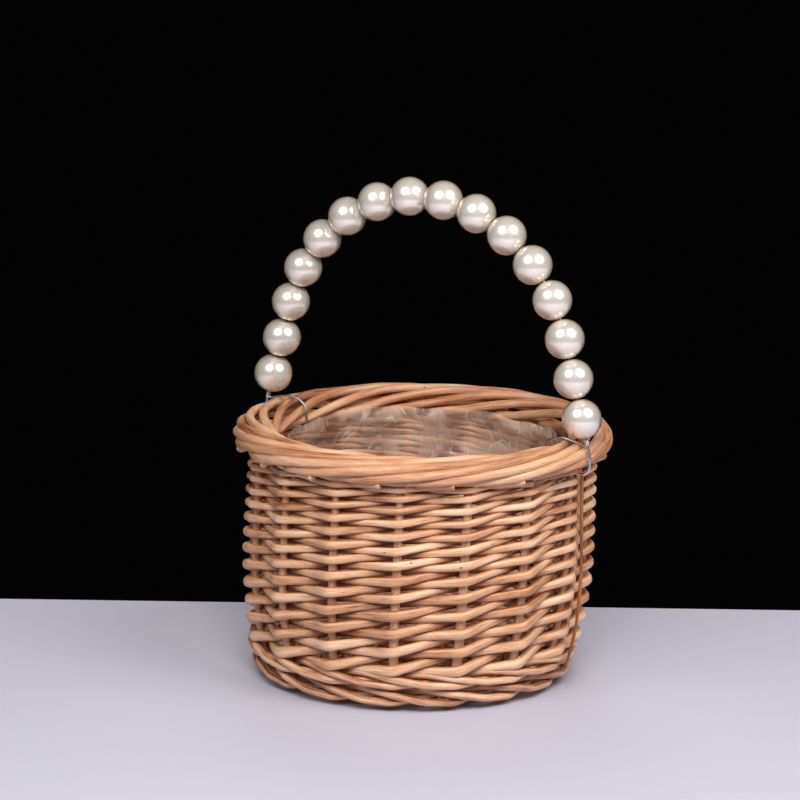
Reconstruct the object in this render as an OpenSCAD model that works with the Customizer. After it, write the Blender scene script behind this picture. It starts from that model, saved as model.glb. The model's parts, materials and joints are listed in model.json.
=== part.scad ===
// Flower girl basket: a round willow basket with a clear film liner and a
// bead handle.  Upright stakes stand round a woven base and turn down at the
// top into the rolled border.  The handle lies in the XZ plane.

/* [Basket] */
// Outer diameter over the border
rim_d = 172; // [140:1:210]
// Height from the table to the top of the border
basket_h = 117; // [90:1:145]
// Outer diameter over the lowest foot rod
foot_d = 137; // [110:1:150]
// Width of the rolled border, from inside to outside
border_w = 21.5; // [17:0.5:26]
// Height over which the wall curves out to the border
belly_h = 52; // [40:1:65]
// How far the foot stands off the border's centre, along the handle
lean_x = 3.2; // [0:0.1:5]
// How far the foot stands off the border's centre, across the handle
lean_y = 2.0; // [0:0.1:5]

/* [Rods] */
// Diameter of the upright stakes, which also make the border
stake_d = 3.5; // [2.8:0.1:4.2]
// Diameter of a wall weaver at its butt, at the bottom
butt_d = 4.1; // [3.2:0.1:5]
// Diameter of a wall weaver at its tip, under the border
tip_d = 2.3; // [1.8:0.1:2.9]
// Diameter of the rods of the foot
wale_d = 3.3; // [2.7:0.1:4]
// Diameter of the base sticks
stick_d = 3.2; // [2.6:0.1:3.9]
// Diameter of the base weavers
base_weaver_d = 2.3; // [1.9:0.1:2.8]
// Diameter of the thin stick that lies over the weavers
splint_d = 1.8; // [1.4:0.1:2.2]

/* [Handle] */
// Height of the handle wire's crown over the table
crown_h = 218; // [190:0.2:260]
// Diameter of the handle wire
wire_d = 1.1; // [0.8:0.1:1.4]
// Slant of the handle's straight sides from upright, in degrees
flank_tilt = 15; // [8:0.5:20]
// Radius of the corners of the wire loops round the border
loop_corner = 3.6; // [2.5:0.1:4.5]

/* [Liner] */
// Thickness of the film liner
film_t = 0.6; // [0.4:0.1:1]
// How far the liner's edge stays below the top of the border
film_drop = 8; // [5:0.5:15]

/* [Hidden] */

stakes = 16;
step = 360 / stakes;
// the first stake stands just past the wire loop, so the loop has room
stake_turn = 3.1;
pearls = 16;
gap = 0.12;
rod_sides = 6;
base_sides = 5;
deg = 180 / PI;

// ---- border: stations along one strand, counted in stake spacings ----
// each row is [spacings, across the roll, up the roll]
border_run = [
    [0, 0.03, -1.70], [0.12, 0.33, -1.20], [0.3, 0.67, -0.98],
    [0.6, 0.88, -0.82], [1, 0.98, -0.45], [1.5, 0.99, 0.05],
    [2, 0.91, 0.56], [2.5, 0.73, 0.92], [3, 0.47, 1.16],
    [3.5, 0.13, 1.24], [4, -0.29, 1.18], [4.4, -0.64, 0.86],
    [4.8, -0.89, 0.32], [5.2, -1, -0.32], [5.6, -0.9, -0.95],
    [6, -0.58, -1.33], [6.12, -0.33, -1.73], [6.25, -0.03, -1.9],
    [6.4, 0.29, -1.8], [6.75, 0.49, -1.65]
];
roll_top = 1.24;
roll_low = 1.9;
strand_pitch = stake_d + 0.3;
wall_r = (rim_d - border_w) / 2;
roll_a = (border_w - stake_d) / 2;
roll_z = basket_h - roll_top * strand_pitch - stake_d / 2;
weave_top = roll_z - roll_low * strand_pitch - stake_d / 2 - gap;

// ---- wall: the stake's centre line, from the base out and up ----
// the base sticks and the stakes lie side by side, so the thicker sets the height
thick = max(stick_d, stake_d);
base_z = thick / 2 + base_weaver_d + 0.4;
bend_r = 5;
wale_pitch = wale_d + 2 * gap;
wale_out = 1.08 * (stake_d / 2 + wale_d / 2 + gap);
wale_in = stake_d / 2 + wale_d / 2 + gap;
sole = 0.15;
foot_room = 0.8 * wale_pitch;
first_turn = acos((base_z + bend_r - wale_d / 2 + sole) / (bend_r + wale_out));
bend_c = foot_d / 2 - wale_d / 2 - (bend_r + wale_out) * sin(first_turn);
bend_angle = 90 - 2 * atan((wall_r - bend_c - bend_r) / belly_h);
bend_len = (bend_r + wale_out) * bend_angle / deg;
bend_end_r = bend_c + bend_r * sin(bend_angle);
bend_end_z = base_z + bend_r * (1 - cos(bend_angle));
belly_r = (wall_r - bend_end_r) / (1 - sin(bend_angle));
belly_len = belly_r * (90 - bend_angle) / deg;
belly_end_z = bend_end_z + belly_r * cos(bend_angle);

// a point [radius, height] at level s along the wall, "out" away from it;
// level 0 is the end of the bend, and all points of one level in the bend
// lie on one line through the bend's centre
function wall(s, out) =
    let (turn = bend_angle + s * deg / (s < 0 ? bend_r + wale_out : belly_r))
    s < -bend_len
        ? [bend_c + s + bend_len, base_z - out]
    : s < 0
        ? [bend_c + (bend_r + out) * sin(turn),
           base_z + bend_r - (bend_r + out) * cos(turn)]
    : s < belly_len
        ? [bend_end_r + belly_r * (sin(turn) - sin(bend_angle)) + out * sin(turn),
           bend_end_z + belly_r * (cos(bend_angle) - cos(turn)) - out * cos(turn)]
        : [wall_r + out, belly_end_z + s - belly_len];

// the foot stands a little off the border's centre
function drift(z) = 1 - min(z, roll_z) / roll_z;
function at(angle, r, z) = [
    r * cos(angle) - lean_x * drift(z),
    r * sin(angle) - lean_y * drift(z),
    z
];
function on_wall(spacings, s, out) =
    let (p = wall(s, out)) at(stake_turn + step * spacings, p[0], p[1]);

// ---- foot: two closed rounds of waling, three rods each ----
wale_half = wale_pitch / 2;
// rods that cross between two stakes lie this far in, and part this far
cross_in = -0.5;
bend_spread = wale_half * (bend_r + wale_out) / (bend_r + cross_in);
foot_low = wale_half - (bend_r + wale_out) * (bend_angle - first_turn) / deg;
foot_high = max(wale_half + foot_room, foot_low + 2 * wale_pitch + gap);

// ---- wall weavers: each climbs one pitch from stake to stake ----
weave_gap = 0.15;
weave_level_0 = foot_high + wale_half + butt_d + gap + butt_d / 2;
weave_level_1 = belly_len + weave_top - belly_end_z - tip_d / 2;
weave_len = weave_level_1 - weave_level_0;
mean_pitch = (butt_d + tip_d) / 2 + weave_gap;
weave_steps = floor(weave_len / mean_pitch);
weave_slack = weave_len / weave_steps - mean_pitch;
function weaver_d(n) = butt_d + (tip_d - butt_d) * max(0, min(1, n / weave_steps));
function weaver_level(n) =
    weave_level_0 + n * (butt_d + weave_gap + weave_slack)
    + (tip_d - butt_d) * n * n / (2 * weave_steps);

// ---- handle wire: straight sides and an arc, loops round the border ----
wire_room = 0.35;
fit = 0.1;
coil_turns = 2;
loop_out = wall_r + roll_a + stake_d / 2 + wire_room + wire_d / 2;
loop_in = wall_r - roll_a - stake_d / 2 - wire_room - wire_d / 2;
loop_top = basket_h + wire_room + 0.15 + wire_d / 2;
loop_bottom = roll_z - 1.33 * strand_pitch - stake_d / 2 - wire_room - 0.15 - wire_d / 2;
seat_z = loop_top + 0.8;
bend_out_z = roll_z;
seat_x = loop_out - (seat_z - bend_out_z) * tan(flank_tilt);
arch_r = (seat_x - (crown_h - seat_z) * tan(flank_tilt))
    / (1 / cos(flank_tilt) - tan(flank_tilt));
arch_z = crown_h - arch_r;
arch_len = arch_r * (90 - flank_tilt) / deg;
flank_z = arch_z + arch_r * sin(flank_tilt);
flank_x = arch_r * cos(flank_tilt);
flank_len = (flank_z - seat_z) / cos(flank_tilt);
// sixteen pearls fill the wire, so their size follows from its length
pearl_pitch = 2 * (arch_len + flank_len) / pearls;
pearl_gap = 0.25;
pearl_d = pearl_pitch - pearl_gap;
bow = pow(pearl_d / 2, 2) / (2 * arch_r);
bore_d = wire_d + bow + 2 * fit;

// ---- rods: a round section carried along a path ----
function unit(v) = v / norm(v);
function heading(p, i) =
    unit(p[min(i + 1, len(p) - 1)] - p[max(i - 1, 0)]);
function carry(p, side, i = 0) = i == len(p)
    ? []
    : let (t = heading(p, i), n = unit(side - (side * t) * t))
        concat([n], carry(p, n, i + 1));

module rod(path, d, side, sides) {
    n = carry(path, side);
    last = len(path) - 1;
    ring = [for (i = [0:last])
        let (t = heading(path, i), b = cross(t, n[i]))
        for (k = [0:sides - 1])
            path[i] + d[i] / 2 * (cos(360 * (k + 0.5) / sides) * n[i]
                                  + sin(360 * (k + 0.5) / sides) * b)];
    ends = [[for (k = [0:sides - 1]) k],
            [for (k = [sides - 1:-1:0]) last * sides + k]];
    skin = [for (i = [0:last - 1], k = [0:sides - 1])
        let (a = i * sides + k, a2 = i * sides + (k + 1) % sides)
        each [[a, a + sides, a2 + sides], [a, a2 + sides, a2]]];
    polyhedron(points = ring, faces = concat(ends, skin), convexity = 10);
}

// ---- stakes: base, wall and border run of one rod ----
stake_in = bend_c - 14;
wall_levels = 7;
wall_top = belly_len + weave_top - belly_end_z;

module stake(k) {
    base = [at(stake_turn + step * k, stake_in, base_z)];
    bend = [for (i = [0:3])
        on_wall(k, -bend_len * (1 - i / 3), 0)];
    up = [for (i = [1:wall_levels]) on_wall(k, wall_top * i / wall_levels, 0)];
    run = [for (p = border_run)
        at(stake_turn + step * (k + p[0]),
           wall_r + roll_a * p[1], roll_z + strand_pitch * p[2])];
    path = concat(base, bend, up, run);
    a = stake_turn + step * k;
    color("burlywood")
        rod(path, [for (p = path) stake_d], [-sin(a), cos(a), 0], rod_sides);
}

// ---- wall weaver j: behind stake j - 1, then front and behind in turn ----
function front_out(d) = 1.115 * (stake_d / 2 + d / 2 + gap);
function back_out(d) = -(stake_d / 2 + d / 2 + gap);

module weaver(j) {
    index = [for (n = [-1:weave_steps]) n];
    path = [for (n = index)
        on_wall(j + n, weaver_level(n),
                n % 2 == 0 ? front_out(weaver_d(n)) : back_out(weaver_d(n)))];
    color("peru")
        rod(path, [for (n = index) weaver_d(n)], [0, 0, 1], rod_sides);
}

// ---- waling: two stakes in front, one behind; half steps lie between ----
function wale_point(m, level) =
    let (
        q = m % 3,
        spread = level < 0 ? bend_spread : wale_half
    )
    q == 0 ? on_wall(m, level + wale_half, wale_out)
    : q == 0.5 ? on_wall(m, level, wale_out + 0.6)
    : q == 1 ? on_wall(m, level - wale_half, wale_out)
    : q == 1.5 ? on_wall(m, level - spread, cross_in)
    : q == 2 ? on_wall(m, level, -wale_in)
    : on_wall(m, level + spread, cross_in);

module wale_rod(first, stakes_passed, level) {
    // the ends stop short, because they meet the next rod behind a stake
    path = [for (m = [first:0.5:first + stakes_passed]) wale_point(m, level)];
    last = len(path) - 1;
    cut = 0.03;
    trimmed = [for (i = [0:last])
        i == 0 ? path[0] + cut * (path[1] - path[0])
        : i == last ? path[last] + cut * (path[last - 1] - path[last])
        : path[i]];
    rod(trimmed, [for (p = path) wale_d], [0, 0, 1], rod_sides);
}

module wale_round(level) {
    wale_rod(2, 15, level);
    wale_rod(17, 15, level);
    wale_rod(32, 18, level);
}

module foot_wale_lower() {
    color("sienna")
        difference() {
            wale_round(foot_low);
            translate([-foot_d, -foot_d, -10]) cube([2 * foot_d, 2 * foot_d, 10]);
        }
}

module foot_wale_upper() {
    color("sienna") wale_round(foot_high);
}

// ---- base: two crossed groups of four sticks, fanned out evenly ----
beside = (stick_d + stake_d) / 2 + gap;
base_edge = bend_c - wale_d / 2 - 0.5;
fan_r = 16.5;
cross_r = 8;

function beside_line(k, r, side) =
    let (a = stake_turn + step * k)
    at(a, r, base_z) + side * [-sin(a), cos(a), 0];

// stick i of a group whose middle line points halfway past stake k, and is
// turned so that each stick runs straight to the side of its stake
module base_stick(k, i, lift) {
    mid = stake_turn + step * (k + 0.5) - atan(beside / fan_r);
    across = (i - 1.5) * (stick_d + 2 * gap);
    along = [cos(mid), sin(mid), 0];
    side = [-sin(mid), cos(mid), 0];
    centre = at(0, 0, base_z) + lift * [0, 0, 1] + across * side;
    path = [
        beside_line(k - 1 + i, base_edge, -beside),
        beside_line(k - 1 + i, fan_r, -beside),
        centre + cross_r * along,
        centre - cross_r * along,
        beside_line(k + 10 - i, fan_r, -beside),
        beside_line(k + 10 - i, base_edge, -beside)
    ];
    rod(path, [for (p = path) stick_d], [0, 0, 1], rod_sides);
}

module base_sticks_over() {
    color("tan") for (i = [0:3]) base_stick(0, i, (stick_d + gap) / 2);
}

module base_sticks_under() {
    color("tan") for (i = [0:3]) base_stick(4, i, -(stick_d + gap) / 2);
}

// ---- base weavers: two spirals that pass over and under in turn ----
base_pitch = base_weaver_d + 2 * gap;
base_start = fan_r + 1;
base_turns = (base_edge - base_start - base_pitch - base_weaver_d / 2) / (2 * base_pitch);
base_rise = thick / 2 + base_weaver_d / 2 + gap;

module base_weaver(round_shift, phase) {
    // the inner spiral runs half a turn further, so both end at the edge
    passes = floor(base_turns * stakes) + (1 - round_shift) * stakes / 2;
    path = [for (m = [0:passes], edge = [0, 1])
        let (
            r = base_start + round_shift * base_pitch + 2 * base_pitch * m / stakes,
            near = -beside - stick_d / 2 - 0.3,
            far = r + base_weaver_d < stake_in
                ? stick_d / 2 - beside + 0.3
                : stake_d / 2 + 0.3,
            up = (m + phase) % 2 == 0 ? 1 : -1
        )
        beside_line(m, r, edge == 0 ? near : far) + [0, 0, up * base_rise]];
    color("peru")
        rod(path, [for (p = path) base_weaver_d], [0, 0, 1], base_sides);
}

// ---- thin stick that lies over the weavers beside the handle ----
splint_slant = 0.2;
splint_levels = 6;

module splint_stick() {
    top = weaver_level(weave_steps) + tip_d / 2;
    path = [for (i = [0:splint_levels])
        let (
            s = top * i / splint_levels + foot_high * (1 - i / splint_levels),
            n = (s - weave_level_0) / weave_len * weave_steps,
            d = s < weave_level_0 ? wale_d : weaver_d(n),
            out = front_out(max(d, wale_d * (1 - i / 2))) + d / 2
        )
        on_wall(splint_slant * (1 - i / splint_levels), s,
                out + splint_d / 2 + 0.35)];
    color("saddlebrown")
        rod(path, [for (p = path) splint_d], [0, 1, 0], rod_sides);
}

// ---- liner: an open bag of thin film inside the weave ----
film_sides = 32;
film_room = 0.5;
film_floor = base_z + base_rise + base_weaver_d / 2 + film_room;
film_edge = basket_h - film_drop;

module liner() {
    // the neck passes inside the handle's wire loops
    neck_r = loop_in - wire_d / 2 - film_room;
    low_r = base_edge - film_room - 2;
    low_s = foot_high + wale_half;
    high_s = wall_top - 8;
    inside = back_out(butt_d) - butt_d / 2 - film_room;
    body = [for (i = [0:4]) wall(low_s + (high_s - low_s) * i / 4, inside)];
    outer = concat([[low_r, film_floor]], body,
                   [[neck_r, loop_bottom + loop_corner / 2], [neck_r, film_edge]]);
    inner = [for (p = outer)
        [p[0] - film_t, p == outer[0] ? p[1] + film_t : p[1]]];
    turned = concat(outer, [for (i = [len(inner) - 1:-1:0]) inner[i]]);
    rings = len(turned);
    pts = [for (p = turned, k = [0:film_sides - 1])
        at(360 * k / film_sides, p[0], p[1])];
    skin = [for (i = [0:rings - 2], k = [0:film_sides - 1])
        let (a = i * film_sides + k, a2 = i * film_sides + (k + 1) % film_sides)
        each [[a, a + film_sides, a2 + film_sides], [a, a2 + film_sides, a2]]];
    floors = [[for (k = [0:film_sides - 1]) k],
              [for (k = [film_sides - 1:-1:0]) (rings - 1) * film_sides + k]];
    color("gainsboro", 0.4)
        polyhedron(points = pts, faces = concat(floors, skin), convexity = 6);
}

// ---- handle wire ----
// a straight length from a to b in the XZ plane
module wire_line(a, b) {
    v = b - a;
    translate([a[0], 0, a[1]])
        rotate([0, atan2(v[0], v[1]), 0])
            cylinder(d = wire_d, h = norm(v), $fn = 48);
}

// an arc round centre c in the XZ plane, from one angle up to another
module wire_arc(c, r, from, to) {
    translate([c[0], 0, c[1]])
        rotate([90, 0, 0])
            rotate([0, 0, from])
                rotate_extrude(angle = to - from, $fn = 96)
                    translate([r, 0]) circle(d = wire_d, $fn = 48);
}

module wire_end() {
    r = loop_corner;
    bend = loop_corner;
    // the slanting side straightens at the outside of the border
    knee = bend * tan(flank_tilt / 2);
    knee_in = [loop_out - knee * sin(flank_tilt), bend_out_z + knee * cos(flank_tilt)];
    knee_out = [loop_out, bend_out_z - knee];
    wire_line(knee_in, [flank_x, flank_z]);
    weld(knee_in[0], knee_in[1]);
    weld(knee_out[0], knee_out[1]);
    wire_arc([loop_out - bend, knee_out[1]], bend, 0, flank_tilt);
    wire_line([loop_out, loop_bottom + r], knee_out);
    wire_arc([loop_out - r, loop_bottom + r], r, 270, 360);
    wire_line([loop_in + r, loop_bottom], [loop_out - r, loop_bottom]);
    wire_arc([loop_in + r, loop_bottom + r], r, 180, 270);
    wire_line([loop_in, loop_bottom + r], [loop_in, loop_top - r]);
    wire_arc([loop_in + r, loop_top - r], r, 90, 180);
    coil_x = seat_x + (seat_z - loop_top) * tan(flank_tilt);
    wire_line([loop_in + r, loop_top], [coil_x - wire_d, loop_top]);
    translate([seat_x, 0, seat_z]) rotate([0, -flank_tilt, 0]) coil();
}

// the wire's end, wound round the slanting side just under the last pearl
module coil() {
    pitch = 0.9 * wire_d;
    first = -0.15 - wire_d / 2;
    for (i = [0:coil_turns - 1])
        translate([0, 0, first - pitch * i])
            rotate_extrude($fn = 64) translate([pitch, 0]) circle(d = wire_d, $fn = 48);
    translate([0, 0, first - pitch * (coil_turns - 1)])
        cylinder(r = pitch, h = pitch * (coil_turns - 1), $fn = 64);
}

// a slight swelling where a slanting length meets an arc
module weld(x, z) {
    translate([x, 0, z]) sphere(d = wire_d + 0.06, $fn = 48);
}

module handle_wire() {
    color("silver") {
        wire_arc([0, arch_z], arch_r, flank_tilt, 180 - flank_tilt);
        for (side = [0, 1])
            mirror([side, 0, 0]) {
                wire_end();
                weld(flank_x, flank_z);
            }
    }
}

// ---- pearls, counted from the -X side ----
module pearl(i) {
    // distance of this pearl from the crown, along the wire
    s = (i - (pearls + 1) / 2) * pearl_pitch;
    far = abs(s);
    toward = sign(s);
    turn = min(90 - flank_tilt, far * deg / arch_r);
    past = max(0, far - arch_len);
    // the bore's line halves the bow of the wire that lies on the arc
    r = arch_r - pow(max(0, pearl_d / 2 - past), 2) / (4 * arch_r);
    x = r * sin(turn) + past * sin(flank_tilt);
    z = arch_z + r * cos(turn) - past * cos(flank_tilt);
    color("ivory")
        translate([toward * x, 0, z])
            rotate([0, toward * (90 + turn), 0])
                difference() {
                    sphere(d = pearl_d, $fn = 96);
                    translate([0, 0, -pearl_d])
                        cylinder(d = bore_d, h = 2 * pearl_d, $fn = 48);
                }
}

// ---- assembly ----
for (k = [1:stakes]) {
    two = k < 10 ? str("0", k) : str(k);
    stake(k);
    weaver(k);
}
foot_wale_lower();
foot_wale_upper();
base_sticks_over();
base_sticks_under();
base_weaver(0, 0);  // base_weaver_a
base_weaver(1, 1);  // base_weaver_b
splint_stick();
liner();
handle_wire();
for (i = [1:pearls]) {
    two = i < 10 ? str("0", i) : str(i);
    pearl(i);
}
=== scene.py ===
# Flower girl basket: willow rods, a clear film liner and a pearl bead handle.
# Lengths are millimetres until a mesh is made; meshes are in metres.
import json
import math

import bpy
import numpy as np
from mathutils import Matrix, Vector


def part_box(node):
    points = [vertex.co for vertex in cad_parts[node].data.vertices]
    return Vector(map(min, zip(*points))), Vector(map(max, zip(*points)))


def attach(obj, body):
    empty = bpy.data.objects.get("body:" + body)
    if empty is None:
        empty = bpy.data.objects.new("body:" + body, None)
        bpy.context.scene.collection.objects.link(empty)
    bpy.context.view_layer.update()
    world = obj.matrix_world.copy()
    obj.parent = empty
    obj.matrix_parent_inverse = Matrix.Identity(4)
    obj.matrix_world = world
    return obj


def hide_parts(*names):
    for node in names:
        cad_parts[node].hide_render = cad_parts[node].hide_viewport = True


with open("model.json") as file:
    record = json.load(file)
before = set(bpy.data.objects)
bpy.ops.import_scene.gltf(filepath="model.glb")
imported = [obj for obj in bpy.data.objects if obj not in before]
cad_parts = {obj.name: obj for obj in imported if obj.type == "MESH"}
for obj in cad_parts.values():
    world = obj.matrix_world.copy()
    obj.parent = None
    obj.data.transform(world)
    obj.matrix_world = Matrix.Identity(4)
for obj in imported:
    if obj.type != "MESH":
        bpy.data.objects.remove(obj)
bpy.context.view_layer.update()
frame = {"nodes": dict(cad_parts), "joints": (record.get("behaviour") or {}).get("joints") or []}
print("frame loaded:", len(frame["nodes"]), "nodes")

metre = 0.001
chance = np.random.default_rng(7)


def makePiece(name, points, faces, body, replaced, materials, fields=None, faceMaterial=None):
    # A mesh object from vertices in millimetres, tied to its body and to the nodes it stands for.
    mesh = bpy.data.meshes.new(name)
    mesh.from_pydata((points * metre).tolist(), [], faces)
    for field, values in (fields or {}).items():
        kind = "FLOAT_VECTOR" if values.ndim == 2 else "FLOAT"
        store = mesh.attributes.new(field, kind, "POINT")
        store.data.foreach_set("vector" if values.ndim == 2 else "value", values.astype(np.float32).ravel())
    mesh.polygons.foreach_set("use_smooth", np.ones(len(faces), bool))
    for material in materials:
        mesh.materials.append(material)
    if faceMaterial is not None:
        mesh.polygons.foreach_set("material_index", faceMaterial)
    mesh.update()
    piece = bpy.data.objects.new(name, mesh)
    bpy.context.scene.collection.objects.link(piece)
    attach(piece, body)
    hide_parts(*replaced)
    return piece


def gridFaces(rows, columns, closeRows=False):
    # Quads of a grid whose columns close on themselves; the rows may close too.
    i = np.arange(rows if closeRows else rows - 1)[:, None]
    j = np.arange(columns)[None, :]
    nextI, nextJ = (i + 1) % rows, (j + 1) % columns
    quads = np.stack([i * columns + j, i * columns + nextJ, nextI * columns + nextJ, nextI * columns + j], -1)
    return quads.reshape(-1, 4)


def unit(vectors):
    # Each vector over its own length.
    return vectors / np.linalg.norm(vectors, axis=-1, keepdims=True)


def alongOf(path):
    # Length run before each point.
    return np.concatenate([[0], np.cumsum(np.linalg.norm(np.diff(path, axis=0), axis=1))])


def follow(stations, step, rounding):
    # Straight lengths through the stations, cut every step, with corners softened by two running means as
    # wide as the rounding. Returns the points and, for each, its place among the stations as a decimal.
    stretch = alongOf(stations)
    count = max(8, int(stretch[-1] / step) + 1)
    along = np.linspace(0, stretch[-1], count)
    points = np.stack([np.interp(along, stretch, stations[:, k]) for k in range(3)], 1)
    place = np.interp(along, stretch, np.arange(len(stations)))
    reach = max(1, int(rounding / step / 2))
    kernel = np.ones(2 * reach + 1) / (2 * reach + 1)
    for _ in range(2):
        before = 2 * points[0] - points[reach:0:-1]
        after = 2 * points[-1] - points[-2:-reach - 2:-1]
        padded = np.concatenate([before, points, after])
        points = np.stack([np.convolve(padded[:, k], kernel, "valid") for k in range(3)], 1)
    return points, place


def carryRound(path, outward, halfOut, halfUp, sides, slant=(0, 0)):
    # A round or oval section carried along a path.
    # Point (i, a) = path(i) + halfOut cos(a) n + halfUp sin(a) b, with n the outward direction made square
    # to the path and b square to both. The two end rings lean along the path by slant times their outward
    # distance, as an oblique cut. Returns the points and each one's place in the rod: (across, up, along).
    heading = unit(np.gradient(path, axis=0))
    n = unit(outward - (outward * heading).sum(1, keepdims=True) * heading)
    b = np.cross(heading, n)
    angle = np.linspace(0, 2 * np.pi, sides, endpoint=False)
    across = halfOut[:, None] * np.cos(angle)
    up = halfUp[:, None] * np.sin(angle)
    points = path[:, None] + across[..., None] * n[:, None] + up[..., None] * b[:, None]
    for row, lean in ((0, slant[0]), (-1, slant[1])):
        points[row] += lean * across[row][:, None] * heading[row]
    inRod = np.stack([across, up, np.broadcast_to(alongOf(path)[:, None], across.shape)], -1)
    return points.reshape(-1, 3), inRod.reshape(-1, 3)


class RodBundle:
    # Collects the rods of one piece, with the grain coordinates and tone that their material reads.
    # The tone moves a rod's colour along its ramp; it is one number, or one for each point of the path. A
    # weaver's tone also carries painted shade where the weaver passes behind a stake.

    def __init__(self, sides):
        self.sides = sides
        self.points, self.grain, self.tone, self.faces, self.ends = [], [], [], [], []
        self.total = 0

    def add(self, path, outward, halfOut, halfUp, tone, slant=(0, 0)):
        # A carried section closed by its two end rings, which take the end grain.
        points, inRod = carryRound(path, outward, halfOut, halfUp, self.sides, slant)
        rows = len(path)
        quads = gridFaces(rows, self.sides)[:, ::-1] + self.total
        self.faces += quads.tolist()
        first = list(range(self.total, self.total + self.sides))
        last = [self.total + (rows - 1) * self.sides + k for k in range(self.sides)]
        self.faces += [first, last[::-1]]
        self.ends += [0] * len(quads) + [1, 1]
        self.points.append(points)
        self.grain.append(inRod + np.array([0, 0, chance.uniform(0, 900)]))    # no two rods share a grain
        self.tone.append(np.repeat(np.broadcast_to(tone, rows), self.sides))
        self.total += len(points)

    def make(self, name, body, replaced, materials):
        fields = {"rodPlace": np.concatenate(self.grain), "rodTone": np.concatenate(self.tone)}
        return makePiece(name, np.concatenate(self.points), self.faces, body, replaced, materials,
                         fields, self.ends)


def fromHex(code):
    # An sRGB hex colour as linear red, green, blue and 1.
    parts = [int(code[k:k + 2], 16) / 255 for k in (1, 3, 5)]
    return [c / 12.92 if c <= 0.04045 else ((c + 0.055) / 1.055) ** 2.4 for c in parts] + [1]


def addNode(tree, kind, settings=None, **sockets):
    # One node. settings are its own properties; sockets are numbers, colours or (node, output) links.
    node = tree.nodes.new(kind)
    for key, value in (settings or {}).items():
        setattr(node, key, value)
    for key, value in sockets.items():
        name = key.replace("_", " ")
        socket = node.inputs[int(name[5:])] if name.startswith("input") else node.inputs[name]
        if isinstance(value, tuple) and isinstance(value[0], bpy.types.Node):
            tree.links.new(value[0].outputs[value[1]], socket)
        else:
            socket.default_value = value
    return node


def mathNode(tree, operation, *values, clamp=False):
    # One sum. MULTIPLY_ADD is the first value times the second plus the third.
    sockets = {f"input{k}": value for k, value in enumerate(values)}
    return addNode(tree, "ShaderNodeMath", {"operation": operation, "use_clamp": clamp}, **sockets)


def smoothRange(tree, value, fromLow, fromHigh, toLow, toHigh):
    # Carries a value from one range to another along an S-curve, and holds it at the ends.
    return addNode(tree, "ShaderNodeMapRange", {"interpolation_type": "SMOOTHSTEP"}, Value=value,
                   From_Min=fromLow, From_Max=fromHigh, To_Min=toLow, To_Max=toHigh)


def stretched(tree, place, across, along):
    # Rod coordinates times so many cells to the millimetre, across the rod and along it.
    return addNode(tree, "ShaderNodeMapping", Vector=(place, "Vector"), Scale=(across, across, along))


def newMaterial(name):
    material = bpy.data.materials.new(name)
    material.use_nodes = True
    material.node_tree.nodes.clear()
    return material, material.node_tree


def finishMaterial(tree, shader):
    addNode(tree, "ShaderNodeOutputMaterial", Surface=(shader, 0))


def setRamp(node, stops):
    ramp = node.color_ramp
    while len(ramp.elements) < len(stops):
        ramp.elements.new(0.5)
    for element, (place, code) in zip(ramp.elements, stops):
        element.position = place
        element.color = fromHex(code)


willowLook = {
    "grainAcross": 0.45,    # mm between the fibres' streaks
    "grainAlong": 11.0,     # mm that a streak runs
    "patchAcross": 3.5,     # mm, blotches where the bark was steamed darker
    "patchAlong": 30.0,
    "knotEvery": 12.0,      # mm between bud scars
    "knotSize": 0.055,      # share of that distance
    "knotColour": "#5E3318",
    "fibreDepth": 0.11,     # mm
    "patchWeight": 1.3, "fibreWeight": 1.25,    # how far blotches and fibres move the colour up its ramp
    "deeper": 0.86,         # how far the whole rod is moved back down
    "dustDeeper": 0.3,      # and, as painted shade, its sides that face the next rods beyond that
    "dustFrom": 1.1, "dustFull": 0.1,   # mm from the rod's middle, measured towards its outer face
    "gleam": 0.75, "dull": 0.1,         # specular level of the open sides and of the sides with painted shade
}


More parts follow.
